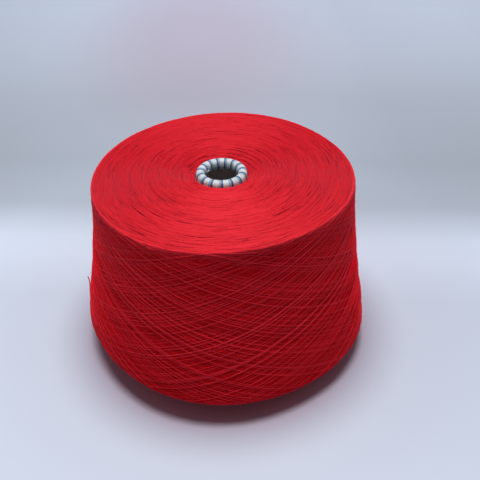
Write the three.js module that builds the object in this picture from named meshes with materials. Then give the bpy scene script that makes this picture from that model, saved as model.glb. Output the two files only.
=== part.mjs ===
// A cone of wool yarn: a cross-wound package on a tapered paper cone.
// Millimetres, +Z up. The origin is the centre of the paper cone's base, on the axis.
// The package keeps its slightly uneven, hand-softened form, with its yarn turns merged
// into one solid. The short free end of the yarn stands off its left side.

import * as THREE from 'three';

// Paper cone: a tube that tapers to a nose, where the paper is rolled inward.
const CONE_HEIGHT = 170;
const CONE_HALF_ANGLE_DEG = 4 + 20 / 60;
const CONE_WALL = 3;
const NOSE_OUTER_RADIUS = 21.4;
const NOSE_ROLL_RADIUS = 3.8;
const NOSE_ROLL_TURN_DEG = 285;
const CONE_SEGMENTS = 48;
const NOSE_ARC_STEPS = 12;

// Wound package: flat top, steep sides that flare towards the foot, raised underside.
const PACKAGE_TOP = 167.3;
const PACKAGE_TOP_RADIUS = 108.9;
const PACKAGE_WIDEST_RADIUS = 126.2;
const PACKAGE_WIDEST_HEIGHT = 27.7;
const PACKAGE_UNDERSIDE = 15.1;
const SHOULDER_RADIUS = 2.4;
const FOOT_ROUND_DEPTH = 11.1;
const FOOT_ROUND_REACH = 15;
const SEAT_GAP = 0.3;
const BORE_ROUND_BAND = 1;
const PACKAGE_SEGMENTS = 96;
const SIDE_STEPS = 20;
const FACE_STEPS = 10;
const FOOT_STEPS = 5;
const SHOULDER_STEPS = 3;
const UNDERSIDE_STEPS = 3;

// The side between the shoulder and the widest turn, from the top down.
const SIDE_STATIONS = [
  { height: 141.3, radius: 110.3 },
  { height: 116.3, radius: 113 },
  { height: 81.3, radius: 117.5 },
  { height: 47.3, radius: 123.4 },
];

// How far the outline is out of round: so many waves round it, each highest towards one
// side, with one depth at the top and one at the widest turn.
const OUT_OF_ROUND = [
  { waves: 2, topDepth: 0.6, topToward: -53, footDepth: 0.4, footToward: -23 },
  { waves: 3, topDepth: 0.9, topToward: -17, footDepth: 0.5, footToward: -31 },
  { waves: 4, topDepth: 0.7, topToward: -21, footDepth: 1.5, footToward: -12 },
];

// The end rings aren't quite square to the axis: this is how far each rises towards +X.
const TOP_TILT_DEG = 1.1;
const FOOT_TILT_DEG = -1.9;

// The crossing bundles of yarn stand out a little on the side, and the turn-round rings
// make low waves on the top face, which dips towards the nose.
const BUNDLE_COUNT = 8;
const BUNDLE_RISE_PER_TURN = 220;
const BUNDLE_DEPTH = 0.22;
const BUNDLE_FADE = 14;
const BUNDLE_SHIFT = 1;
const FACE_CROWN = 0.9;
const FACE_WAVE_LENGTH = 23;
const FACE_WAVE_DEPTH = 0.35;
const FACE_WAVE_LOBES = 3;
const NOSE_DIP = 2.4;
const NOSE_DIP_REACH = 16;

// Free end of the yarn: it lies along the left side, and its tip turns up and stands off.
// Each point is given by its angle about the axis, its distance from it and its height.
const YARN_DIAMETER = 0.9;
const YARN_SIDES = 8;
const YARN_STEPS = 20;
const LOOSE_END_ROUTE = [
  { angle: 204, radius: 124.2, height: 46.4 },
  { angle: 202.6, radius: 124.2, height: 47.3 },
  { angle: 201.2, radius: 124.1, height: 48.2 },
  { angle: 199.8, radius: 124, height: 49.1 },
  { angle: 198.4, radius: 123.9, height: 50 },
  { angle: 197, radius: 123.8, height: 50.9 },
  { angle: 195.6, radius: 123.7, height: 51.8 },
  { angle: 194.2, radius: 123.7, height: 52.7 },
  { angle: 192.8, radius: 123.6, height: 53.6 },
  { angle: 191.4, radius: 123.6, height: 54.6 },
  { angle: 190.1, radius: 123.6, height: 55.7 },
  { angle: 189, radius: 123.4, height: 57.1 },
  { angle: 188.1, radius: 123.3, height: 58.9 },
  { angle: 187.4, radius: 123, height: 61.1 },
  { angle: 186.9, radius: 122.8, height: 63.5 },
  { angle: 186.5, radius: 122.7, height: 66 },
  { angle: 186.3, radius: 122.8, height: 69 },
  { angle: 186.2, radius: 123.5, height: 71.8 },
];

const WOOL_RED = 0xc01825;
const WOOL_FINISH = { roughness: 0.95, metalness: 0 };
const PAPER_WHITE = 0xd9dadb;
const PAPER_FINISH = { roughness: 0.7, metalness: 0 };

const TINY = 0.001;

function rad(degrees) {
  return (degrees * Math.PI) / 180;
}

// Radius of the paper cone's outer face at a height.
function coneRadius(height) {
  const noseCentre = CONE_HEIGHT - NOSE_ROLL_RADIUS;
  return NOSE_OUTER_RADIUS + (noseCentre - height) * Math.tan(rad(CONE_HALF_ANGLE_DEG));
}

function arc(centreR, centreZ, reachR, reachZ, fromDeg, toDeg, steps) {
  const points = [];
  for (let i = 0; i <= steps; i += 1) {
    const a = rad(fromDeg + ((toDeg - fromDeg) * i) / steps);
    points.push(new THREE.Vector2(centreR + reachR * Math.cos(a), centreZ + reachZ * Math.sin(a)));
  }
  return points;
}

// Turns a closed profile of (radius, height) points about +Z.
function turned(profile, segments) {
  const geometry = new THREE.LatheGeometry([...profile, profile[0].clone()], segments);
  geometry.rotateX(Math.PI / 2);
  return geometry;
}

function paperCone() {
  const noseCentreR = NOSE_OUTER_RADIUS - NOSE_ROLL_RADIUS;
  const noseCentreZ = CONE_HEIGHT - NOSE_ROLL_RADIUS;
  const baseRadius = coneRadius(0);
  const noseRoll = arc(
    noseCentreR, noseCentreZ,
    NOSE_ROLL_RADIUS, NOSE_ROLL_RADIUS, 0, NOSE_ROLL_TURN_DEG, NOSE_ARC_STEPS,
  );
  const profile = [
    new THREE.Vector2(baseRadius - CONE_WALL, 0),
    new THREE.Vector2(baseRadius, 0),
    ...noseRoll,
  ];
  return turned(profile, CONE_SEGMENTS);
}

function packageProfile() {
  const side = new THREE.SplineCurve([
    new THREE.Vector2(PACKAGE_TOP_RADIUS, PACKAGE_TOP - SHOULDER_RADIUS),
    ...SIDE_STATIONS.map((s) => new THREE.Vector2(s.radius, s.height)),
    new THREE.Vector2(PACKAGE_WIDEST_RADIUS, PACKAGE_WIDEST_HEIGHT),
  ]).getSpacedPoints(SIDE_STEPS);
  const shoulder = arc(
    PACKAGE_TOP_RADIUS - SHOULDER_RADIUS, PACKAGE_TOP - SHOULDER_RADIUS,
    SHOULDER_RADIUS, SHOULDER_RADIUS, 0, 90, SHOULDER_STEPS,
  );
  const foot = arc(
    PACKAGE_WIDEST_RADIUS - FOOT_ROUND_REACH, PACKAGE_WIDEST_HEIGHT,
    FOOT_ROUND_REACH, FOOT_ROUND_DEPTH, -90, 0, FOOT_STEPS,
  );
  const boreFoot = coneRadius(PACKAGE_UNDERSIDE) + SEAT_GAP;
  const boreTop = coneRadius(PACKAGE_TOP) + SEAT_GAP;
  const underside = new THREE.LineCurve(new THREE.Vector2(boreFoot, PACKAGE_UNDERSIDE), foot[0]);
  const face = new THREE.LineCurve(shoulder.at(-1), new THREE.Vector2(boreTop, PACKAGE_TOP));
  return [
    ...underside.getPoints(UNDERSIDE_STEPS).slice(0, -1),
    ...foot.slice(0, -1),
    ...side.reverse().slice(0, -1),
    ...shoulder.slice(0, -1),
    ...face.getPoints(FACE_STEPS),
  ];
}

// 0 at the low limit, 1 at the high one, with soft ends.
function ramp(value, low, high) {
  return THREE.MathUtils.smoothstep(value, low, high);
}

// How far the outline stands out of round at a height and an angle.
function outOfRound(angle, height) {
  const share = ramp(height, PACKAGE_WIDEST_HEIGHT, PACKAGE_TOP);
  let offset = 0;
  for (const row of OUT_OF_ROUND) {
    const top = row.topDepth * Math.cos(row.waves * (angle - rad(row.topToward)));
    const foot = row.footDepth * Math.cos(row.waves * (angle - rad(row.footToward)));
    offset += share * top + (1 - share) * foot;
  }
  return offset;
}

// How far the end rings' tilt lifts a point, at its height and its distance towards +X.
function tiltLift(x, height) {
  const share = ramp(height, PACKAGE_WIDEST_HEIGHT, PACKAGE_TOP);
  return x * Math.tan(rad(THREE.MathUtils.lerp(FOOT_TILT_DEG, TOP_TILT_DEG, share)));
}

// The two families of bundles that wind up the side, one each way round.
function bundleRelief(angle, height) {
  const twist = (2 * Math.PI * height) / BUNDLE_RISE_PER_TURN;
  const oneWay = Math.cos(BUNDLE_COUNT * (angle - twist));
  const otherWay = Math.cos(BUNDLE_COUNT * (angle + twist) + BUNDLE_SHIFT);
  const lowFade = ramp(height, PACKAGE_WIDEST_HEIGHT, PACKAGE_WIDEST_HEIGHT + BUNDLE_FADE);
  const highFade = 1 - ramp(height, PACKAGE_TOP - BUNDLE_FADE, PACKAGE_TOP - SHOULDER_RADIUS);
  return BUNDLE_DEPTH * (oneWay + otherWay) * lowFade * highFade;
}

// The top face rises a little between the nose and the shoulder, in low waves, and dips
// where it meets the nose.
function faceRelief(angle, radius) {
  const inner = coneRadius(PACKAGE_TOP) + SEAT_GAP;
  const outer = PACKAGE_TOP_RADIUS - SHOULDER_RADIUS;
  const share = THREE.MathUtils.clamp((radius - inner) / (outer - inner), 0, 1);
  const crown = Math.sin(Math.PI * share);
  const wave = Math.cos((2 * Math.PI * radius) / FACE_WAVE_LENGTH + Math.sin(FACE_WAVE_LOBES * angle));
  const dip = NOSE_DIP * (1 - ramp(radius, inner, inner + NOSE_DIP_REACH));
  return crown * (FACE_CROWN + FACE_WAVE_DEPTH * wave) - dip;
}

function yarnPackage() {
  const geometry = turned(packageProfile(), PACKAGE_SEGMENTS);
  const position = geometry.attributes.position;
  const point = new THREE.Vector3();
  for (let i = 0; i < position.count; i += 1) {
    point.fromBufferAttribute(position, i);
    const angle = Math.atan2(point.y, point.x);
    const radius = Math.hypot(point.x, point.y);
    // The bore stays round, so the unevenness grows outward from the paper cone.
    const roundBand = coneRadius(point.z) + SEAT_GAP + BORE_ROUND_BAND;
    const outward = ramp(radius, roundBand, PACKAGE_TOP_RADIUS);
    const scale = 1 + (outward * (outOfRound(angle, point.z) + bundleRelief(angle, point.z))) / radius;
    const onFace = Math.abs(point.z - PACKAGE_TOP) < TINY;
    const lift = outward * tiltLift(point.x, point.z) + (onFace ? faceRelief(angle, radius) : 0);
    position.setXYZ(i, point.x * scale, point.y * scale, point.z + lift);
  }
  geometry.computeVertexNormals();
  return geometry;
}

// A round section of flat sides, carried along the free end's route.
function looseEnd() {
  const section = new THREE.Shape();
  for (let i = 0; i < YARN_SIDES; i += 1) {
    const a = (2 * Math.PI * i) / YARN_SIDES;
    const x = (YARN_DIAMETER / 2) * Math.cos(a);
    const y = (YARN_DIAMETER / 2) * Math.sin(a);
    if (i === 0) section.moveTo(x, y);
    else section.lineTo(x, y);
  }
  section.closePath();
  const route = new THREE.CatmullRomCurve3(LOOSE_END_ROUTE.map(({ angle, radius, height }) => (
    new THREE.Vector3(radius * Math.cos(rad(angle)), radius * Math.sin(rad(angle)), height)
  )));
  return new THREE.ExtrudeGeometry(section, {
    steps: YARN_STEPS, bevelEnabled: false, extrudePath: route,
  });
}

function mesh(name, geometry, colour, finish) {
  const made = new THREE.Mesh(geometry, new THREE.MeshStandardMaterial({ color: colour, ...finish }));
  made.name = name;
  return made;
}

const cone = new THREE.Group();
cone.add(mesh('yarn_package', yarnPackage(), WOOL_RED, WOOL_FINISH));
cone.add(mesh('paper_cone', paperCone(), PAPER_WHITE, PAPER_FINISH));
cone.add(mesh('loose_end', looseEnd(), WOOL_RED, WOOL_FINISH));

export default cone;
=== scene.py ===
# %% [markdown]
# A cone of wool yarn. The thin yarn is wound to and fro over a tapered paper cone, so the
# side shows two families of crossing turns and the two end faces show only the places
# where the yarn turns round. This script dresses the plain solids of the part: the yarn is
# laid turn by turn, and the paper gets its print and its rolled nose.

import math
import random

import bmesh
import bpy
import numpy as np
from mathutils import Matrix, Vector, noise
from mathutils.bvhtree import BVHTree


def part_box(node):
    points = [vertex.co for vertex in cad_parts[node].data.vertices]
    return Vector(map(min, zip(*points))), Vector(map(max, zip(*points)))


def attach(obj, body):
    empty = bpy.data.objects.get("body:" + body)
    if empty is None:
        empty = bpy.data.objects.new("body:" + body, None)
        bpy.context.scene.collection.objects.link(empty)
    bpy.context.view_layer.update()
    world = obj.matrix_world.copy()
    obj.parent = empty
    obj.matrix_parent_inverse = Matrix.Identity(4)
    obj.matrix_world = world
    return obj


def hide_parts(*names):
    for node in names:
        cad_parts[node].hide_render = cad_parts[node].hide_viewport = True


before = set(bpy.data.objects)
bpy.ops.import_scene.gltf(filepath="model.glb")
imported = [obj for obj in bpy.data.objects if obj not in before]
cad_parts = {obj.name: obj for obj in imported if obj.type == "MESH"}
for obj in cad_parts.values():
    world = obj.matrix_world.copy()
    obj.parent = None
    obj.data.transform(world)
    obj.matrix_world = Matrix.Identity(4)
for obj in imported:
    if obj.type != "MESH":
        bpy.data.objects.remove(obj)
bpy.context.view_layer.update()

MM = 0.001
package_low, package_high = (Vector(corner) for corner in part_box("yarn_package"))
tube_low, tube_high = (Vector(corner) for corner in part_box("paper_cone"))
print("package from", package_low, "to", package_high)
print("paper cone", tube_high.z, "m tall")

# %% [markdown]
# The camera comes first. It stands about half a metre in front of the cone and nearly as
# high above the table, and looks down on it by 37 degrees. Its place, turn and lens were
# fitted to the outline of the cone in the photograph. A camera could be aimed with a
# constraint, but a matrix made from its own three directions is exact and stays put.

# %% Camera
CAMERA_BACK = 497.9 * MM
CAMERA_HEIGHT = 472.8 * MM
CAMERA_DOWN = math.radians(37.1)
CAMERA_ASIDE = math.radians(1.64)
CAMERA_ROLL = math.radians(1.1)
CAMERA_LENS = 52.5
SENSOR_WIDTH = 36


def camera_matrix():
    forward = Vector((
        math.sin(CAMERA_ASIDE) * math.cos(CAMERA_DOWN),
        math.cos(CAMERA_ASIDE) * math.cos(CAMERA_DOWN),
        -math.sin(CAMERA_DOWN),
    ))
    level = Vector((math.cos(CAMERA_ASIDE), -math.sin(CAMERA_ASIDE), 0))
    down = forward.cross(level)
    right = math.cos(CAMERA_ROLL) * level + math.sin(CAMERA_ROLL) * down
    up = math.sin(CAMERA_ROLL) * level - math.cos(CAMERA_ROLL) * down
    turn = Matrix((right, up, -forward)).transposed().to_4x4()
    return Matrix.Translation((0, -CAMERA_BACK, CAMERA_HEIGHT)) @ turn


camera_data = bpy.data.cameras.new("camera")
camera_data.lens = CAMERA_LENS
camera_data.sensor_width = SENSOR_WIDTH
camera = bpy.data.objects.new("camera", camera_data)
camera.matrix_world = camera_matrix()
bpy.context.collection.objects.link(camera)
bpy.context.scene.camera = camera
print("camera at", camera.location)

# %% [markdown]
# All the yarn is laid in the same way. A list of points becomes an open spline, the curve
# gets a round thickness, and it is made a mesh at once. A tube could be built ring by ring
# with bmesh, but the curve keeps its section upright along every bend by itself. Four sides
# are enough for a thread that is hardly wider than a pixel.

# %% Yarn from points


def around(angle, radius, height):
    """A place given by its angle about the axis, its distance from it and its height."""
    return Vector((radius * math.cos(angle), radius * math.sin(angle), height))


def yarn_mesh(name, ways, thickness, sides):
    """A mesh of yarn along each way, with its corners in the order of the points."""
    curve = bpy.data.curves.new(name, "CURVE")
    curve.dimensions = "3D"
    curve.bevel_depth = thickness / 2
    curve.bevel_resolution = (sides - 4) // 2
    for way in ways:
        spline = curve.splines.new("POLY")
        spline.points.add(len(way) - 1)
        spline.points.foreach_set("co", [c for point in way for c in (*point, 1)])
    laid = bpy.data.objects.new(name, curve)
    bpy.context.collection.objects.link(laid)
    graph = bpy.context.evaluated_depsgraph_get()
    mesh = bpy.data.meshes.new_from_object(laid.evaluated_get(graph))
    bpy.data.objects.remove(laid)
    bpy.data.curves.remove(curve)
    mesh.name = name
    return mesh


# %% [markdown]
# The yarn's finish needs two things from its mesh. One is a UV map that runs round and along
# the yarn, so that the twist of its plies can follow it. The other is a painted shade for each
# length of yarn, because no two turns catch the light in quite the same way. An attribute
# carries it, which one material can read on every piece.

# %% Map and shade of the yarn


def run_lengths(ways):
    """How far along its yarn each point lies, in millimetres, for one way after another."""
    along = []
    for way in ways:
        gone = 0.0
        along.append(gone)
        for a, b in zip(way, way[1:]):
            gone += (b - a).length / MM
            along.append(gone)
    return np.array(along, dtype=np.float32)


def map_yarn(mesh, ways, shades, sides):
    """The curve's own map already runs round the yarn, so only its other way is changed."""
    corners = np.empty(len(mesh.loops), dtype=np.int32)
    mesh.loops.foreach_get("vertex_index", corners)
    layer = mesh.uv_layers[0]
    layer.name = "yarn"
    places = np.empty(2 * len(corners), dtype=np.float32)
    layer.data.foreach_get("uv", places)
    places[0::2] = run_lengths(ways)[corners // sides]
    layer.data.foreach_set("uv", places)
    shade = mesh.attributes.new("shade", "FLOAT", "POINT")
    shade.data.foreach_set("value", np.repeat(np.array(shades, dtype=np.float32), sides))


# %% [markdown]
# The tubes are still open where the yarn is cut. The curve could close them itself, but then
# its corners would no longer come in the order of the points, so the holes are filled last.
# The piece is then linked and rides on the part's one body.

# %% Closed ends and a finished piece


def close_ends(mesh, sides):
    build = bmesh.new()
    build.from_mesh(mesh)
    open_edges = [edge for edge in build.edges if edge.is_boundary]
    bmesh.ops.holes_fill(build, edges=open_edges, sides=sides)
    build.to_mesh(mesh)
    build.free()


def lay_yarn(name, ways, shades, thickness, sides=4):
    """A finished piece of yarn. There is one shade for each point of the ways."""
    mesh = yarn_mesh(name, ways, thickness, sides)
    map_yarn(mesh, ways, shades, sides)
    close_ends(mesh, sides)
    mesh.shade_smooth()
    piece = bpy.data.objects.new(name, mesh)
    bpy.context.collection.objects.link(piece)
    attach(piece, "root")
    print(name, "has", sum(len(p.vertices) - 2 for p in mesh.polygons), "triangles")
    return piece


# %% [markdown]
# The free end of the yarn lies along the left side, and its last centimetre turns up and
# stands off. It is a short limp cord. The points of its way are listed: the angle about the
# axis in degrees, the distance from it and the height in millimetres, all repeated from the
# solid that it replaces.

# %% Loose end
YARN_THICKNESS = 0.9 * MM
LOOSE_END_SIDES = 10
# The loose end and the hairs wear the bright stop of the ramp, the painted highlight of the last
# turns.
HIGHLIGHT_SHADE = 0.5
LOOSE_END_WAY = (
    (204, 124.2, 46.4), (202.6, 124.2, 47.3), (201.2, 124.1, 48.2), (199.8, 124, 49.1),
    (198.4, 123.9, 50), (197, 123.8, 50.9), (195.6, 123.7, 51.8), (194.2, 123.7, 52.7),
    (192.8, 123.6, 53.6), (191.4, 123.6, 54.6), (190.1, 123.6, 55.7), (189, 123.4, 57.1),
    (188.1, 123.3, 58.9), (187.4, 123, 61.1), (186.9, 122.8, 63.5), (186.5, 122.7, 66),
    (186.3, 122.8, 69), (186.2, 123.5, 71.8),
)
loose_way = [around(math.radians(a), r * MM, z * MM) for a, r, z in LOOSE_END_WAY]
loose_shades = [HIGHLIGHT_SHADE] * len(loose_way)
loose_end = lay_yarn("wool_loose_end", [loose_way], loose_shades, YARN_THICKNESS, LOOSE_END_SIDES)
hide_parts("loose_end")

# %% [markdown]
# A finish is a small graph of nodes that ends in the Principled shader. Four helpers keep the
# graphs short: one adds a node with its settings, one does a sum, one sets up a colour ramp
# from its stops, and one multiplies two colours. A value that is the same all over a surface
# needs no node and is set on the shader's own socket.

# %% Helpers for materials


def new_material(name):
    made = bpy.data.materials.new(name)
    made.use_nodes = True
    nodes, links = made.node_tree.nodes, made.node_tree.links
    return made, nodes, links, nodes["Principled BSDF"]


def add(nodes, kind, **values):
    """A node with its settings, or its inputs of the same names, given as keywords."""
    node = nodes.new(kind)
    for key, value in values.items():
        if hasattr(node, key):
            setattr(node, key, value)
        else:
            node.inputs[key.replace("_", " ").title()].default_value = value
    return node


def arithmetic(nodes, links, operation, *values):
    """A Math node whose inputs are numbers or other nodes' outputs."""
    node = add(nodes, "ShaderNodeMath", operation=operation)
    for socket, value in zip(node.inputs, values):
        if isinstance(value, (int, float)):
            socket.default_value = value
        else:
            links.new(value, socket)
    return node.outputs["Value"]


def ramp(nodes, stops):
    """A colour ramp with its stops given as pairs of a position and a colour."""
    node = nodes.new("ShaderNodeValToRGB")
    elements = node.color_ramp.elements
    elements.remove(elements[-1])
    elements[0].position, elements[0].color = stops[0][0], (*stops[0][1], 1)
    for place, colour in stops[1:]:
        elements.new(place).color = (*colour, 1)
    return node


def multiplied(nodes, links, first, second):
    """The product of two colours."""
    node = add(nodes, "ShaderNodeMix", data_type="RGBA", blend_type="MULTIPLY")
    inputs = {socket.identifier: socket for socket in node.inputs}
    inputs["Factor_Float"].default_value = 1
    links.new(first, inputs["A_Color"])
    links.new(second, inputs["B_Color"])
    return next(socket for socket in node.outputs if socket.identifier == "Result_Color")


def set_surface(shader, values):
    for socket, value in values.items():
        shader.inputs[socket].default_value = value


# %% [markdown]
# Spun wool is matt, and its hairs catch a little light at a grazing view. The finish is one
# material for all the yarn: a strong red whose depth comes from each turn's own painted shade
# and from a cloudy pattern, a rough surface, and a pinkish sheen for the hairs. The ramp holds
# painted light and shade: it starts with painted shade on the turns that lie deep, grows to a
# painted highlight on the last turns on the side, and ends in a painted deeper red on the end
# faces, which lie full in the light. Two heights are added for the bump: the twist of the two
# plies, which follows the UV map, and the fibres.

# %% Wool finish and painted shade
# Stops of the ramp, painted light and shade on the one red of the wool: painted shade on the deep
# turns, a painted highlight on the last turns, and a painted deeper red on the end faces.
WOOL_RED_AND_PAINTED_SHADES = (
    (0.08, (0.64, 0.002, 0.006)),
    (0.3, (0.9, 0.006, 0.015)),
    (0.48, (0.98, 0.03, 0.056)),
    (0.62, (0.67, 0.022, 0.036)),
    (1.0, (0.48, 0.008, 0.017)),
)
SHADE_SHARE = 0.75
CLOUD_SCALE = 420
PLY_COUNT = 2
PLY_PITCH = 4.5
PLY_RELIEF = 0.35
FIBRE_SCALE = 2600
FIBRE_RELIEF = 0.12 * MM
WOOL_SURFACE = {
    "Roughness": 0.6,
    "Metallic": 0.04,
    "Specular IOR Level": 0.05,
    "Sheen Weight": 0.22,
    "Sheen Roughness": 0.4,
    "Sheen Tint": (0.6, 0.3, 0.42, 1),
}


def wool_finish_and_painted_shade(name):
    made, nodes, links, shader = new_material(name)
    place = add(nodes, "ShaderNodeTexCoord").outputs["Object"]
    cloudy = add(nodes, "ShaderNodeTexNoise", scale=CLOUD_SCALE, detail=3, roughness=0.6)
    links.new(place, cloudy.inputs["Vector"])
    turn_shade = add(nodes, "ShaderNodeAttribute", attribute_name="shade").outputs["Fac"]
    depth = arithmetic(
        nodes, links, "MULTIPLY_ADD", turn_shade, SHADE_SHARE,
        arithmetic(nodes, links, "MULTIPLY", cloudy.outputs["Fac"], 1 - SHADE_SHARE),
    )
    colours = ramp(nodes, WOOL_RED_AND_PAINTED_SHADES)
    links.new(depth, colours.inputs["Fac"])
    links.new(colours.outputs["Color"], shader.inputs["Base Color"])
    yarn_map = add(nodes, "ShaderNodeUVMap", uv_map="yarn")
    apart = add(nodes, "ShaderNodeSeparateXYZ")
    links.new(yarn_map.outputs["UV"], apart.inputs["Vector"])
    phase = arithmetic(
        nodes, links, "MULTIPLY_ADD", apart.outputs["X"], math.tau / PLY_PITCH,
        arithmetic(nodes, links, "MULTIPLY", apart.outputs["Y"], math.tau * PLY_COUNT),
    )
    plies = arithmetic(nodes, links, "SINE", phase)
    fibres = add(nodes, "ShaderNodeTexNoise", scale=FIBRE_SCALE, detail=4, roughness=0.7)
    links.new(place, fibres.inputs["Vector"])
    height = arithmetic(nodes, links, "MULTIPLY_ADD", plies, PLY_RELIEF, fibres.outputs["Fac"])
    bump = add(nodes, "ShaderNodeBump", strength=0.2, distance=FIBRE_RELIEF)
    links.new(height, bump.inputs["Height"])
    links.new(bump.outputs["Normal"], shader.inputs["Normal"])
    set_surface(shader, WOOL_SURFACE)
    return made


wool = wool_finish_and_painted_shade("red_wool")
loose_end.data.materials.append(wool)
print("wool finish has", len(wool.node_tree.nodes), "nodes")

# %% [markdown]
# Under the turns that show lies the bulk of the wound yarn, and it fills the gaps between
# them with a deep red, the painted shade of the end faces. It is a copy of the package's
# solid, whose loose triangles are merged first and then drawn in a little along their
# normals, everywhere except in the bore, where the paper cone sits. Round the nose it is
# sunk further, because the arcs dip there.

# %% Body under the turns
BODY_DRAWN_IN = 1.6 * MM
BORE_BAND = 3 * MM
NOSE_SUNK = 4 * MM
NOSE_SUNK_RADIUS = 36 * MM
# The body wears the painted shade of the end faces.
BODY_PAINTED_SHADE = 0.75
NOSE_RADIUS = 21.4 * MM


def bore_radius(height):
    """Radius of the tapered hole, from the paper cone's size at its foot and its nose."""
    share = height / tube_high.z
    return tube_high.x * (1 - share) + NOSE_RADIUS * share


def drawn_in_body():
    build = bmesh.new()
    build.from_mesh(bpy.data.objects["yarn_package"].data)
    bmesh.ops.remove_doubles(build, verts=build.verts, dist=0.01 * MM)
    build.normal_update()
    moves = []
    for vert in build.verts:
        radius = math.hypot(vert.co.x, vert.co.y)
        if vert.co.z > package_high.z / 2 and radius < NOSE_SUNK_RADIUS:
            if vert.co.z > package_high.z - 2 * NOSE_SUNK:
                moves.append((vert, vert.co - Vector((0, 0, NOSE_SUNK))))
        elif radius > bore_radius(vert.co.z) + BORE_BAND:
            moves.append((vert, vert.co - vert.normal * BODY_DRAWN_IN))
    for vert, place in moves:
        vert.co = place
    mesh = bpy.data.meshes.new("wool_body")
    build.to_mesh(mesh)
    build.free()
    mesh.shade_smooth()
    shade = mesh.attributes.new("shade", "FLOAT", "POINT")
    shade.data.foreach_set("value", [BODY_PAINTED_SHADE] * len(mesh.vertices))
    return mesh


wool_body = bpy.data.objects.new("wool_body", drawn_in_body())
bpy.context.collection.objects.link(wool_body)
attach(wool_body, "root")
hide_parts("yarn_package")
wool_body.data.materials.append(wool)
print("body faces", len(wool_body.data.polygons))

# %% [markdown]
# To lay yarn on the package, the script must know where its surface is. The solid's own
# mesh answers that with rays: one from the side gives the radius at an angle and a height,
# one from above or below gives the height of an end face at a place. A Shrinkwrap modifier
# could press the yarn on, but it would flatten the turns that lie over one another.

# %% Where the surface is
FAR = 0.4


def solid_rays():
    build = bmesh.new()
    build.from_mesh(bpy.data.objects["yarn_package"].data)
    tree = BVHTree.FromBMesh(build)
    build.free()
    return tree


package_rays = solid_rays()


def side_radius(angle, height):
    hit = package_rays.ray_cast(around(angle, FAR, height), around(angle, -1, 0))[0]
    return math.hypot(hit.x, hit.y)


def face_height(angle, radius, side):
    """Height of the top face, with side 1, or of the underside, with side -1."""
    hit = package_rays.ray_cast(around(angle, radius, side * FAR), Vector((0, 0, -side)))[0]
    return hit.z if hit else None


RIM_RADIUS = 106 * MM
FOOT_RADIUS = 116 * MM
LEVEL_COUNT = 72
rim_levels = [face_height(math.tau * i / LEVEL_COUNT, RIM_RADIUS, 1) for i in range(LEVEL_COUNT)]
foot_levels = [face_height(math.tau * i / LEVEL_COUNT, FOOT_RADIUS, -1) for i in range(LEVEL_COUNT)]


def level_at(levels, angle):
    place = (angle / math.tau) % 1 * LEVEL_COUNT
    low = int(place)
    return levels[low] + (place - low) * (levels[(low + 1) % LEVEL_COUNT] - levels[low])


print("rim level", round(min(rim_levels) / MM, 1), "to", round(max(rim_levels) / MM, 1), "mm")
print("foot level", round(min(foot_levels) / MM, 1), "to", round(max(foot_levels) / MM, 1), "mm")

# %% [markdown]
# The side is wound as on the machine. The cone turns evenly while a guide carries the yarn
# up and down, so each run climbs at about 20 degrees and slows down only where it turns
# round. Straight lines on a texture could hint at this, but only real turns cross over each
# other, catch light on top and throw small shadows below. A triangle wave would give the
# to and fro, and an arcsine of a cosine is the same wave with its tips rounded off.

# %% Motion of the guide and the cone
END_SLOWING = 0.03
SLOW_WANDER = 0.11
QUICK_WANDER = 0.37
BATCH_OFFSET = 0.31


def rise_at(run):
    """Share of the way up, 0 at the foot and 1 at the rim, after so many runs."""
    limit = 1 - END_SLOWING
    return 0.5 - math.asin(limit * math.cos(math.pi * run)) / (2 * math.asin(limit))


def turn_at(run, pace, wander, seed):
    """Turns of the cone after so many runs, with a slow wander."""
    slow = noise.noise(Vector((run * SLOW_WANDER, seed, 0)))
    quick = noise.noise(Vector((run * QUICK_WANDER, seed, 9)))
    return pace * run + wander * (slow + 0.5 * quick) + BATCH_OFFSET * seed


print("a quarter of the way through a run the yarn is", round(rise_at(0.25), 3), "of the way up")

# %% [markdown]
# The yarn is laid in five batches, from deep to last. In each one a run up starts between a
# seventh and a ninth of a turn further on than the run up before it, so after seven to nine
# of them the yarn is almost back where it began. That gathers the turns into the crossing
# bundles that show in the photograph. The deep batches are close and get a painted dark
# shade, and the last ones are few, thin and bright with a painted highlight.

# %% Batches of turns
# Each batch: how many runs up or down, the depth of its first and last run under the outer
# surface in millimetres, the turns of the cone for each run, how far the runs wander, the
# darkest and lightest painted shade of a run, and the thickness of the yarn that shows.
BATCHES = (
    {"name": "wool_turns_deep", "runs": 440, "depths": (1.45, 1.15), "pace": 0.5571,
     "wander": 0.05, "shades": (0.0, 0.2), "thick": 0.74},
    {"name": "wool_turns_middle", "runs": 440, "depths": (1.15, 0.8), "pace": 0.5683,
     "wander": 0.04, "shades": (0.0, 0.25), "thick": 0.68},
    {"name": "wool_turns_outer", "runs": 330, "depths": (0.8, 0.45), "pace": 0.5605,
     "wander": 0.03, "shades": (0.0, 0.3), "thick": 0.56},
    {"name": "wool_turns_late", "runs": 110, "depths": (0.35, 0.15), "pace": 0.56363,
     "wander": 0.06, "shades": (0.3, 0.48), "thick": 0.5},
    {"name": "wool_turns_last", "runs": 76, "depths": (0.1, -0.05), "pace": 0.55622,
     "wander": 0.06, "shades": (0.46, 0.5), "thick": 0.46},
)
print(sum(batch["runs"] for batch in BATCHES), "runs in", len(BATCHES), "batches")

# %% [markdown]
# Each batch is one long way of points, five degrees of the cone's turn apart, laid at its
# depth under the surface between the foot and the rim. On the right of the cone the runs
# upward lie a little higher than the runs downward, and on the left it is the other way
# round, as the steep lines at both sides of the photograph show. Near the rim every turn
# takes on the painted shade of the end face, a deeper red than the side's.

# %% Turns on the side
TURN_STEP = 1 / 72
END_MARGIN_TOP = 0.6 * MM
END_MARGIN_FOOT = 1.0 * MM
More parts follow.
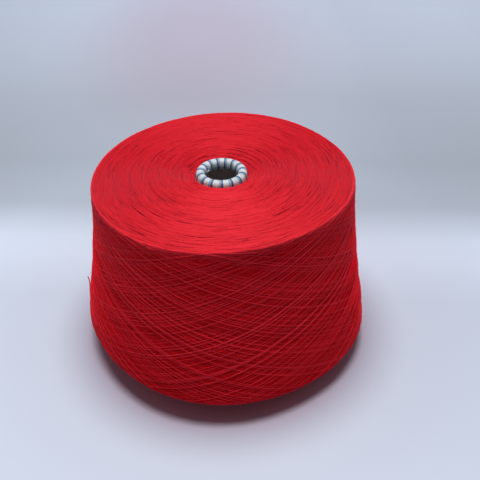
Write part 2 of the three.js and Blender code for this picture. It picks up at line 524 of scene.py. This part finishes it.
# The painted shade that every turn takes on near the rim.
RIM_PAINTED_SHADE = 0.66
RIM_SHARE = 0.955
FAMILY_LEAN = 0.25


def side_point(turn, rise, depth):
    angle = turn * math.tau
    low = level_at(foot_levels, angle) + END_MARGIN_FOOT
    high = level_at(rim_levels, angle) - END_MARGIN_TOP
    height = low + rise * (high - low)
    return around(angle, side_radius(angle, height) - depth, height)


def wind_side(batch, seed):
    """The way of one batch, and the shade at each of its points."""
    draw = random.Random(seed)
    run_shades = [draw.uniform(*batch["shades"]) for _ in range(batch["runs"] + 1)]
    steps = int(batch["runs"] * batch["pace"] / TURN_STEP)
    first, last = batch["depths"]
    way, shades = [], []
    for step in range(steps + 1):
        share = step / steps
        run = share * batch["runs"]
        turn = turn_at(run, batch["pace"], batch["wander"], seed)
        lean = FAMILY_LEAN * math.sin(math.pi * run) * math.cos(turn * math.tau)
        depth = (first + share * (last - first) - lean) * MM
        rise = rise_at(run)
        way.append(side_point(turn, rise, depth))
        near_rim = max(0, (rise - RIM_SHARE) / (1 - RIM_SHARE))
        shades.append(run_shades[int(run)] * (1 - near_rim) + RIM_PAINTED_SHADE * near_rim)
    return way, shades


for seed, batch in enumerate(BATCHES):
    way, shades = wind_side(batch, seed)
    turns = lay_yarn(batch["name"], [way], shades, batch["thick"] * MM)
    turns.data.materials.append(wool)

# %% [markdown]
# On the end faces the yarn shows only where it turns round. It comes up out of the package,
# runs along the edge of its layer for a few centimetres and goes down again. So each face is
# made of rings of short arcs whose ends dip, and their gaps are the short dark dashes in it.
# The rings aren't quite round: they sway a little, more so near the nose, where the layers
# were wound on a small cone. Noise could bend them, but a few waves that drift round the
# axis from ring to ring keep neighbours side by side.

# %% How the rings sway
# Each wave: how often it goes round, how much further out it has drifted by one radian,
# and its share.
WIDE_WAVES = ((3, 9 * MM, 1.0), (5, -6 * MM, 0.6))
TIGHT_WAVE = (9, 4 * MM, 1.0)
ROW_WAVE = 0.7 * MM
NOSE_WAVE = 1.6 * MM
NOSE_WAVE_REACH = 16 * MM
WAVE_SHARE = 0.6


def near(radius, reach):
    """1 at the nose, falling off with the distance from it."""
    return math.exp((NOSE_RADIUS - radius) / reach)


def behind(angle):
    """1 behind the nose and 0 in front of it."""
    return (1 + math.sin(angle)) / 2


def wave(angle, radius, count, drift, share):
    return share * math.sin(count * angle + radius / drift)


def row_wave(angle, radius):
    """How far a ring of arcs strays from round."""
    wide = sum(wave(angle, radius, *values) for values in WIDE_WAVES)
    tight = wave(angle, radius, *TIGHT_WAVE)
    return WAVE_SHARE * (ROW_WAVE * wide + NOSE_WAVE * near(radius, NOSE_WAVE_REACH) * tight)


print("a ring of 30 mm strays by", round(row_wave(0, 30 * MM) / MM, 2), "mm on the right")

# %% [markdown]
# The faces aren't flat either. Low ripples run round the nose, one every few millimetres and
# deepest behind it. In front the yarn stands higher against the nose, behind it the yarn
# sinks and leaves a narrow gap. A Displace modifier could move the finished arcs, but it
# would pinch their round section. Here each point is moved before its arc gets a thickness.

# %% Ripples and the seat at the nose
RIPPLE_PITCH = 4.4 * MM
RIPPLE_DEPTH = 0.08 * MM
RIPPLE_BEND_TWICE = 1.5
RIPPLE_BEND_ONCE = 2
NOSE_RIPPLE = 0.22 * MM
NOSE_RISE = 1.2 * MM
RISE_SWING = 1.4
RISE_SHIFT = 0.4
NOSE_GAP = 1.3 * MM
NOSE_RISE_REACH = 7 * MM


def ripple(angle, radius):
    """Height of the ripples, whose rings are bent once and twice round the axis."""
    depth = RIPPLE_DEPTH + NOSE_RIPPLE * near(radius, NOSE_WAVE_REACH) * behind(angle)
    phase = math.tau * radius / RIPPLE_PITCH + RIPPLE_BEND_TWICE * math.sin(2 * angle)
    phase += RIPPLE_BEND_ONCE * math.sin(angle + 1)
    return depth * math.sin(phase)


def nose_rise(angle, radius):
    """The yarn stands higher against the nose in front and sinks behind it."""
    swing = RISE_SWING * math.sin(angle) + RISE_SHIFT
    return -NOSE_RISE * swing * near(radius, NOSE_RISE_REACH)


def nose_gap(angle, radius):
    return NOSE_GAP * behind(angle) * near(radius, NOSE_RISE_REACH)


print("in front the yarn rises by", round(nose_rise(-math.pi / 2, NOSE_RADIUS) / MM, 2), "mm")

# %% [markdown]
# One arc is a way of points some four and a half millimetres apart, laid on the face. It
# dips towards both ends, and it may slant a little from one ring towards the next. An arc
# that would leave the face is given up. Near the two edges of the face all the waves fade,
# so that the outline stays clean.

# %% One arc
ARC_STEP = 4.5 * MM
ARC_DIP = 0.22 * MM
ARC_HALF_LIMIT = 1.5
ARC_LEAST_STEPS = 4
EDGE_ROOM = 4 * MM


def away_from_edges(row, radius):
    """0 at the two edges of the face and 1 a little way in."""
    room = min(radius - row["inner"] * MM, row["outer"] * MM - radius) / EDGE_ROOM
    return max(0.0, min(1.0, room))


def arc_way(row, centre, radius, length, slant, seat):
    """The points of an arc that sits so deep in its face, or none if it would leave it."""
    half = min(length / radius / 2, ARC_HALF_LIMIT)
    steps = max(ARC_LEAST_STEPS, round(2 * half * radius / ARC_STEP))
    fade = away_from_edges(row, radius)
    way = []
    for step in range(steps + 1):
        along = 2 * step / steps - 1
        angle = centre + along * half
        place = radius + row_wave(angle, radius) * fade + slant * along
        place += nose_gap(angle, radius)
        level = face_height(angle, place, row["side"])
        if level is None:
            return []
        sunk = seat + ARC_DIP * along ** 2 - ripple(angle, place) * fade
        if row["side"] == 1:
            sunk -= nose_rise(angle, place)
        way.append(around(angle, place, level - row["side"] * sunk))
    return way


# %% [markdown]
# A face is filled from the nose outward, ring after ring, with arcs of random length and
# seat that overlap by three quarters. The rings are closer on the top face, which is seen
# from near, than underneath. Yarn that runs across the line of sight shines more than yarn
# that runs along it, so the arcs on the left and right get a painted deeper shade, and those
# at the back get painted shade too.

# %% Turn-rounds on the two end faces
# Each face: its side, where its rings begin and end, and how far apart they are, all in
# millimetres, the two painted shades between which its arcs lie, and the seed of its random draws.
FACE_ROWS = (
    {"name": "wool_top_face", "side": 1, "inner": 22.1, "outer": 108.6, "pitch": 0.64,
     "shades": (0.68, 0.82), "seed": 5},
    {"name": "wool_underside", "side": -1, "inner": 34.6, "outer": 122.5, "pitch": 1.2,
     "shades": (0.2, 0.5), "seed": 6},
)
FACE_TURN_THICKNESS = 0.76 * MM
ARC_LENGTH = (34, 66)
ARC_OVERLAP = 1.75
ARC_STRAY = 0.3
ARC_SEAT = 0.45 * MM
ARC_UNEVEN = 0.05 * MM
ROW_UNEVEN = 0.08 * MM
ARC_SLANT = 0.8 * MM
# Painted shade added to the arcs at the left and right, and at the back.
ENDS_PAINTED_SHADE = 0.36
BACK_PAINTED_SHADE = 0.24


def face_ways(row):
    draw = random.Random(row["seed"])
    ways, shades = [], []
    radius = row["inner"] * MM
    while radius <= row["outer"] * MM:
        count = math.ceil(ARC_OVERLAP * math.tau * radius / (sum(ARC_LENGTH) / 2 * MM))
        start = draw.random()
        row_seat = draw.uniform(-1, 1) * ROW_UNEVEN
        for i in range(count):
            centre = math.tau * (i + start + draw.uniform(-ARC_STRAY, ARC_STRAY)) / count
            length = draw.uniform(*ARC_LENGTH) * MM
            slant = draw.uniform(-1, 1) * ARC_SLANT * away_from_edges(row, radius)
            seat = ARC_SEAT + row_seat + draw.uniform(-1, 1) * ARC_UNEVEN
            shade = draw.uniform(*row["shades"]) + ENDS_PAINTED_SHADE * math.cos(centre) ** 2
            shade += BACK_PAINTED_SHADE * max(0, math.sin(centre))
            way = arc_way(row, centre, radius, length, slant, seat)
            if way:
                ways.append(way)
                shades.extend([shade] * len(way))
        radius += row["pitch"] * MM
    return ways, shades


for row in FACE_ROWS:
    ways, shades = face_ways(row)
    turn_rounds = lay_yarn(row["name"], ways, shades, FACE_TURN_THICKNESS)
    turn_rounds.data.materials.append(wool)

# %% [markdown]
# Spun wool is never quite smooth: fine hairs stand off the yarn all over. They are too thin
# to see one by one and only make the outline soft. A particle system could grow them, but
# its hairs aren't meshes, so each hair here is a short bent way of three points at a random
# place, and all of them together are one piece.

# %% Hairs
HAIR_COUNT = 3600
HAIR_THICKNESS = 0.09 * MM
HAIR_LENGTH = (1.2, 3.6)
HAIR_ROOT = 0.5 * MM
HAIR_STRAY = 0.8
HAIRS_ON_TOP = 0.3
HAIR_RADII = (26, 108)
HAIR_SEED = 11


def hair_foot(draw):
    """A random place on the yarn and the way out from it, on the top face or on the side."""
    angle = draw.uniform(0, math.tau)
    out = around(angle, 1, 0)
    if draw.random() < HAIRS_ON_TOP:
        radius = draw.uniform(*HAIR_RADII) * MM
        level = face_height(angle, radius, 1)
        return around(angle, radius, level - HAIR_ROOT), Vector((0, 0, 1))
    low = level_at(foot_levels, angle)
    height = low + draw.random() * (level_at(rim_levels, angle) - low)
    return around(angle, side_radius(angle, height) - HAIR_ROOT, height), out


def hair_way(draw):
    foot, out = hair_foot(draw)
    length = draw.uniform(*HAIR_LENGTH) * MM
    stray = Vector([draw.uniform(-1, 1) for _ in range(3)])
    first = (out + HAIR_STRAY * stray).normalized()
    bent = (out + 2 * HAIR_STRAY * stray).normalized()
    middle = foot + first * length * 0.5
    return [foot, middle, middle + bent * length * 0.5]


hair_draw = random.Random(HAIR_SEED)
hair_ways = [hair_way(hair_draw) for _ in range(HAIR_COUNT)]
hairs = lay_yarn("wool_hairs", hair_ways, [HIGHLIGHT_SHADE] * (3 * HAIR_COUNT), HAIR_THICKNESS)
hairs.data.materials.append(wool)

# %% [markdown]
# The paper cone is a stiff tube of pasted paper with its nose rolled inward, so that the
# yarn slides off without catching. A cylinder and a ring could be joined for it, but the
# wall and the roll are one sheet, so one section is spun about the axis. The roll's edge
# goes down inside the mouth for a few millimetres, leaning in a little, and ends in a cut
# edge, below which the plain inner side of the tube shows.

# %% Paper cone
CONE_WALL = 3 * MM
ROLL_RADIUS = 3.8 * MM
FLANK_DEPTH = 3.4 * MM
FLANK_SHEET = 1.0 * MM
FLANK_LEAN = 0.9 * MM
CUT_SLANT = 0.3 * MM
CUT_HEIGHT = 0.8 * MM
SPIN_STEPS = 144
ROLL_STEPS = 18
WALL_STEPS = 12


def cone_section():
    """Points of the closed section in the XZ plane, from the base's outer edge upward."""
    centre = Vector((NOSE_RADIUS - ROLL_RADIUS, 0, tube_high.z - ROLL_RADIUS))
    foot = Vector((tube_high.x, 0, 0))
    lip = centre + Vector((ROLL_RADIUS, 0, 0))
    outer = [foot.lerp(lip, i / WALL_STEPS) for i in range(WALL_STEPS)]
    roll = []
    for i in range(ROLL_STEPS + 1):
        a = math.pi * i / ROLL_STEPS
        roll.append(centre + ROLL_RADIUS * Vector((math.cos(a), 0, math.sin(a))))
    cut_edge = roll[-1] - Vector((FLANK_LEAN, 0, FLANK_DEPTH))
    cut_back = cut_edge + Vector((FLANK_SHEET, 0, -CUT_SLANT))
    under = lip + Vector((-CONE_WALL, 0, -FLANK_DEPTH - CUT_HEIGHT))
    wall_foot = foot - Vector((CONE_WALL, 0, 0))
    inner = [under.lerp(wall_foot, i / WALL_STEPS) for i in range(WALL_STEPS + 1)]
    return outer + roll + [cut_edge, cut_back] + inner


def spun_cone():
    build = bmesh.new()
    verts = [build.verts.new(point) for point in cone_section()]
    edges = [build.edges.new(pair) for pair in zip(verts, verts[1:] + verts[:1])]
    bmesh.ops.spin(
        build, geom=verts + edges, cent=(0, 0, 0), axis=(0, 0, 1), angle=math.tau,
        steps=SPIN_STEPS, use_merge=True,
    )
    bmesh.ops.remove_doubles(build, verts=build.verts, dist=0.005 * MM)
    bmesh.ops.recalc_face_normals(build, faces=build.faces)
    mesh = bpy.data.meshes.new("striped_paper_cone")
    build.to_mesh(mesh)
    build.free()
    mesh.shade_smooth()
    return mesh


paper_cone = bpy.data.objects.new("striped_paper_cone", spun_cone())
bpy.context.collection.objects.link(paper_cone)
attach(paper_cone, "root")
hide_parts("paper_cone")
print("paper cone faces", len(paper_cone.data.polygons))

# %% [markdown]
# The paper is off-white with blue stripes that run up the cone and over its nose, each one
# half light and half dark. The stripes follow the angle about the axis, so an ARCTAN2 node
# works that out from Object coordinates, and a colour ramp holds one repeat. The repeats sway
# a little, because print never goes over a fold quite straight. The fold inside the mouth is
# painted lighter than the rest, a painted light, by a ramp over the centimetres below the
# top, and specks of dirt make the cone a used one.

# %% Printed paper finish and painted light
STRIPE_COUNT = 15
STRIPE_START = 0.52
PAPER = (0.53, 0.55, 0.57)
STRIPE_LIGHT = (0.2, 0.32, 0.46)
STRIPE_DARK = (0.04, 0.08, 0.17)
STRIPE_REPEAT = (
    (0.0, PAPER), (0.5, PAPER), (0.55, STRIPE_LIGHT), (0.73, STRIPE_LIGHT),
    (0.79, STRIPE_DARK), (0.93, STRIPE_DARK), (0.99, PAPER),
)
SWAY_SCALE = 120
STRIPE_SWAY = 0.06
SPECK_SCALE = 420
SPECKS = ((0.0, (1, 1, 1)), (0.56, (1, 1, 1)), (0.68, (0.62, 0.5, 0.45)))
PER_CENTIMETRE = 100
# Painted light on the fold inside the mouth, over the centimetres below the top.
FOLD_PAINTED_LIGHT = (
    (0.3, (1, 1, 1)), (0.5, (1.35, 1.35, 1.35)), (0.72, (1.7, 1.7, 1.7)), (0.9, (1, 1, 1)),
)
GRAIN_SCALE = 900
GRAIN_RELIEF = 0.15 * MM
PAPER_ROUGHNESS = 0.55


def paper_print_and_painted_light():
    made, nodes, links, shader = new_material("striped_paper")
    place = add(nodes, "ShaderNodeTexCoord").outputs["Object"]
    apart = add(nodes, "ShaderNodeSeparateXYZ")
    links.new(place, apart.inputs["Vector"])
    angle = arithmetic(nodes, links, "ARCTAN2", apart.outputs["Y"], apart.outputs["X"])
    wobble = add(nodes, "ShaderNodeTexNoise", scale=SWAY_SCALE, detail=2)
    links.new(place, wobble.inputs["Vector"])
    swing = arithmetic(nodes, links, "MULTIPLY_ADD", wobble.outputs["Fac"], STRIPE_SWAY, angle)
    repeat = arithmetic(
        nodes, links, "MULTIPLY_ADD", swing, STRIPE_COUNT / math.tau, STRIPE_START,
    )
    share = arithmetic(nodes, links, "FRACT", repeat)
    stripes = ramp(nodes, STRIPE_REPEAT)
    links.new(share, stripes.inputs["Fac"])
    dirt = add(nodes, "ShaderNodeTexNoise", scale=SPECK_SCALE, detail=4, roughness=0.7)
    links.new(place, dirt.inputs["Vector"])
    specks = ramp(nodes, SPECKS)
    links.new(dirt.outputs["Fac"], specks.inputs["Fac"])
    dirt_and_painted_light = multiplied(nodes, links, stripes.outputs["Color"], specks.outputs["Color"])
    fold = ramp(nodes, FOLD_PAINTED_LIGHT)
    depth = arithmetic(nodes, links, "SUBTRACT", tube_high.z, apart.outputs["Z"])
    links.new(arithmetic(nodes, links, "MULTIPLY", depth, PER_CENTIMETRE), fold.inputs["Fac"])
    dirt_and_painted_light = multiplied(nodes, links, dirt_and_painted_light, fold.outputs["Color"])
    links.new(dirt_and_painted_light, shader.inputs["Base Color"])
    grain = add(nodes, "ShaderNodeTexNoise", scale=GRAIN_SCALE, detail=3)
    bump = add(nodes, "ShaderNodeBump", strength=0.3, distance=GRAIN_RELIEF)
    links.new(place, grain.inputs["Vector"])
    links.new(grain.outputs["Fac"], bump.inputs["Height"])
    links.new(bump.outputs["Normal"], shader.inputs["Normal"])
    shader.inputs["Roughness"].default_value = PAPER_ROUGHNESS
    return made


paper_cone.data.materials.append(paper_print_and_painted_light())
print("paper cone has", STRIPE_COUNT, "stripes")

# %% [markdown]
# The inner side of the tube is plain board, a little brown and unevenly pulped, and its colour
# is painted lighter, as painted light in the dark bore. One object can wear two materials: each
# face keeps the number of the one it wears, and only the faces that look inward below the fold
# get the second.

# %% Plain board inside, with painted light
# The board is painted lighter than such board is, as painted light inside the bore.
BOARD_PAINTED_LIGHT = (0.75, 0.67, 0.62)
BOARD_DEEP_PAINTED_LIGHT = (0.6, 0.52, 0.48)
PULP_SCALE = 300
BOARD_ROUGHNESS = 0.9


def board_with_painted_light():
    made, nodes, links, shader = new_material("inner_board")
    place = add(nodes, "ShaderNodeTexCoord").outputs["Object"]
    pulp = add(nodes, "ShaderNodeTexNoise", scale=PULP_SCALE, detail=5, roughness=0.7)
    colours = ramp(nodes, ((0.3, BOARD_DEEP_PAINTED_LIGHT), (0.7, BOARD_PAINTED_LIGHT)))
    links.new(place, pulp.inputs["Vector"])
    links.new(pulp.outputs["Fac"], colours.inputs["Fac"])
    links.new(colours.outputs["Color"], shader.inputs["Base Color"])
    shader.inputs["Roughness"].default_value = BOARD_ROUGHNESS
    return made


def paint_inside(mesh):
    """The faces that look inward below the roll get the plain board."""
    below = tube_high.z - ROLL_RADIUS - FLANK_DEPTH
    for face in mesh.polygons:
        centre = face.center
        inward = face.normal.x * centre.x + face.normal.y * centre.y < 0
        if inward and centre.z < below:
            face.material_index = 1


board = board_with_painted_light()
paper_cone.data.materials.append(board)
paint_inside(paper_cone.data)
print(sum(face.material_index for face in paper_cone.data.polygons), "faces of plain board")

# %% [markdown]
# The cut edge of the paper has torn a little at one place inside the mouth, and a small scrap
# hangs there. It is a flat grid, made narrower towards one end, curled and given the thickness
# of the paper. Only then is it turned into its place on the wall of the mouth, because a
# shape is easiest to make flat and at the origin.

# %% Torn scrap in the mouth
SCRAP_HALF = Vector((1.5, 0.8, 1.0)) * MM
SCRAP_SHEET = 0.3 * MM
SCRAP_TAPER = 0.6
SCRAP_CURL = 0.3 * MM
SCRAP_ANGLE = math.radians(150)
SCRAP_RADIUS = 13.1 * MM
SCRAP_DROP = 5.3 * MM
SCRAP_LEAN = math.radians(50)


def torn_scrap():
    build = bmesh.new()
    bmesh.ops.create_grid(build, x_segments=6, y_segments=3, size=1)
    for vert in build.verts:
        share = (vert.co.x + 1) / 2
        vert.co.y *= 1 - SCRAP_TAPER * share
    bmesh.ops.scale(build, vec=SCRAP_HALF, verts=build.verts)
    for vert in build.verts:
        vert.co.z += SCRAP_CURL * (vert.co.x / SCRAP_HALF.x) ** 2
    bmesh.ops.solidify(build, geom=build.faces[:], thickness=SCRAP_SHEET)
    bmesh.ops.recalc_face_normals(build, faces=build.faces)
    place = Matrix.Translation(around(SCRAP_ANGLE, SCRAP_RADIUS, tube_high.z - SCRAP_DROP))
    facing = Matrix.Rotation(SCRAP_ANGLE + math.pi / 2, 4, "Z")
    leaning = Matrix.Rotation(SCRAP_LEAN, 4, "X")
    bmesh.ops.transform(build, matrix=place @ facing @ leaning, verts=build.verts)
    mesh = bpy.data.meshes.new("torn_paper_scrap")
    build.to_mesh(mesh)
    build.free()
    return mesh


torn_paper = bpy.data.objects.new("torn_paper_scrap", torn_scrap())
bpy.context.collection.objects.link(torn_paper)
torn_paper.data.materials.append(board)
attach(torn_paper, "root")
print("torn scrap has", len(torn_paper.data.polygons), "faces")

# %% [markdown]
# The cone stands on a pale table that runs up into a pale backdrop a long way off. It is one
# sheet: a profile of points, with a quarter circle for the bend, extruded sideways once. The
# sheet isn't attached to the part's body, so it stays out of the part.

# %% Table and backdrop
SHEET_FRONT = -1.5
BEND_START = 1.6
BEND_RADIUS = 0.5
BACKDROP_TOP = 2.4
SHEET_HALF_WIDTH = 2.2
BEND_STEPS = 16


def stage_sheet():
    profile = [Vector((-SHEET_HALF_WIDTH, SHEET_FRONT, 0))]
    for i in range(BEND_STEPS + 1):
        a = math.pi / 2 * i / BEND_STEPS
        profile.append(Vector((
            -SHEET_HALF_WIDTH,
            BEND_START + BEND_RADIUS * math.sin(a),
            BEND_RADIUS * (1 - math.cos(a)),
        )))
    profile.append(Vector((-SHEET_HALF_WIDTH, BEND_START + BEND_RADIUS, BACKDROP_TOP)))
    build = bmesh.new()
    verts = [build.verts.new(point) for point in profile]
    edges = [build.edges.new(pair) for pair in zip(verts, verts[1:])]
    made = bmesh.ops.extrude_edge_only(build, edges=edges)
    moved = [item for item in made["geom"] if isinstance(item, bmesh.types.BMVert)]
    bmesh.ops.translate(build, verts=moved, vec=(2 * SHEET_HALF_WIDTH, 0, 0))
    bmesh.ops.recalc_face_normals(build, faces=build.faces)
    mesh = bpy.data.meshes.new("backdrop")
    build.to_mesh(mesh)
    build.free()
    mesh.shade_smooth()
    return mesh


backdrop = bpy.data.objects.new("backdrop", stage_sheet())
bpy.context.collection.objects.link(backdrop)
print("backdrop faces", len(backdrop.data.polygons))

# %% [markdown]
# The light on the sheet isn't even, and part of that is painted. The sheet has painted shade
# behind the cone, as where paper starts to curve up and turns away from the lamp, and painted
# light again further off. A real bend so close would hide the cone from behind. Near the foot
# it has a faint painted red glow, as light thrown back by the wool, with painted light a little
# further out; it has painted shade on the right, and a faint painted reflection of the red
# cone high behind it. Each of the four is a ramp over a place or a distance in Object
# coordinates, and the ramps are multiplied.

# %% Table with painted light
TABLE = (0.565, 0.615, 0.725)
# Painted shade behind the cone and painted light further off, along the depth of the sheet.
TABLE_PAINTED_LIGHT_BY_DEPTH = (
    (-0.2, 1.05), (0.03, 0.97), (0.1, 1.07), (0.13, 1.05), (0.2, 0.71), (0.3, 0.68),
    (0.5, 0.9), (0.8, 1.42), (1.1, 1.95),
)
TABLE_SLANT = 0.09
DEPTH_SCALE = 0.6
DEPTH_START = 0.3
# A faint painted red glow near the foot, as light thrown back by the wool, and painted light a
# little further out.
TABLE_PAINTED_GLOW = (
    (0.115, (1.0, 0.62, 0.68)), (0.128, (0.99, 0.84, 0.88)), (0.142, (0.98, 0.94, 0.96)),
    (0.16, (1.0, 1.0, 1.0)), (0.2, (1.02, 1.03, 1.03)), (0.3, (1.12, 1.15, 1.14)),
    (0.5, (1.03, 1.04, 1.03)),
)
# Painted shade on the right of the sheet.
TABLE_PAINTED_SHADE_RIGHT = ((0.05, (1, 1, 1)), (0.25, (0.92, 0.91, 0.92)), (0.45, (1, 1, 1)))
# A faint painted reflection of the red cone, high behind it on the sheet.
TABLE_PAINTED_REFLECTION = ((0.05, (0.95, 0.8, 0.83)), (0.28, (1, 1, 1)))
REFLECTION_STRETCH = (1, 0.5, 0)
REFLECTION_OFFSET = (0.03, -0.375, 0)
TABLE_SURFACE = {"Roughness": 0.7, "Specular IOR Level": 0.2}


def distance(nodes, links, place):
    node = add(nodes, "ShaderNodeVectorMath", operation="LENGTH")
    links.new(place, node.inputs[0])
    return node.outputs["Value"]


def ramped(nodes, links, stops, value, interpolation="LINEAR"):
    """The colour that a ramp gives to a value."""
    node = ramp(nodes, stops)
    node.color_ramp.interpolation = interpolation
    links.new(value, node.inputs["Fac"])
    return node.outputs["Color"]


def table_with_painted_light():
    made, nodes, links, shader = new_material("pale_table")
    place = add(nodes, "ShaderNodeTexCoord").outputs["Object"]
    apart = add(nodes, "ShaderNodeSeparateXYZ")
    links.new(place, apart.inputs["Vector"])
    slanted = arithmetic(
        nodes, links, "MULTIPLY_ADD", apart.outputs["X"], TABLE_SLANT, apart.outputs["Y"],
    )
    depth = arithmetic(nodes, links, "MULTIPLY_ADD", slanted, DEPTH_SCALE, DEPTH_START)
    depth_stops = [
        (DEPTH_START + DEPTH_SCALE * y, tuple(k * c for c in TABLE)) for y, k in TABLE_PAINTED_LIGHT_BY_DEPTH
    ]
    centred = add(nodes, "ShaderNodeVectorMath", operation="MULTIPLY_ADD")
    links.new(place, centred.inputs[0])
    centred.inputs[1].default_value = REFLECTION_STRETCH
    centred.inputs[2].default_value = REFLECTION_OFFSET
    spread = distance(nodes, links, centred.outputs["Vector"])
    lit = ramped(nodes, links, depth_stops, depth)
    for shading in (
        ramped(nodes, links, TABLE_PAINTED_GLOW, distance(nodes, links, place)),
        ramped(nodes, links, TABLE_PAINTED_SHADE_RIGHT, apart.outputs["X"]),
        ramped(nodes, links, TABLE_PAINTED_REFLECTION, spread, "EASE"),
    ):
        lit = multiplied(nodes, links, lit, shading)
    links.new(lit, shader.inputs["Base Color"])
    set_surface(shader, TABLE_SURFACE)
    return made


backdrop.data.materials.append(table_with_painted_light())
print("table finish has", len(backdrop.data.materials[0].node_tree.nodes), "nodes")

# %% [markdown]
# One broad lamp hangs straight above, as the shadow right under the foot shows. A broad lamp
# close by gives the soft edge of that shadow, which a small or distant one couldn't. Two weak
# lamps stand for the pale walls beside the cone, and a faint sky fills in the rest. The view
# transform is the standard one, because the colours were matched under it.

# %% Lamps and sky
# Each lamp: where it hangs, the point it faces, its two widths and its power in watts.
LAMPS = {
    "lamp_above": ((0.0, 0.02, 1.25), (0, 0.02, 0), (0.66, 0.6), 15.6),
    "lamp_left": ((-1.2, 0.3, 0.55), (0, 0, 0.05), (1.0, 1.0), 0.5),
    "lamp_right": ((1.2, 0.3, 0.55), (0, 0, 0.05), (1.0, 1.0), 0.5),
}
SKY_COLOUR = (0.9, 0.94, 1, 1)
SKY_STRENGTH = 0.125


def area_lamp(name, place, aim, sizes, power):
    data = bpy.data.lights.new(name, "AREA")
    data.shape = "ELLIPSE"
    data.size, data.size_y = sizes
    data.energy = power
    lamp = bpy.data.objects.new(name, data)
    lamp.location = place
    lamp.rotation_euler = (Vector(aim) - Vector(place)).to_track_quat("-Z", "Y").to_euler()
    bpy.context.collection.objects.link(lamp)
    return lamp


for name, values in LAMPS.items():
    area_lamp(name, *values)
world = bpy.data.worlds.new("sky")
bpy.context.scene.world = world
world.use_nodes = True
background = world.node_tree.nodes["Background"]
background.inputs["Color"].default_value = SKY_COLOUR
background.inputs["Strength"].default_value = SKY_STRENGTH
bpy.context.scene.view_settings.view_transform = "Standard"
print(len(bpy.data.lights), "lamps")
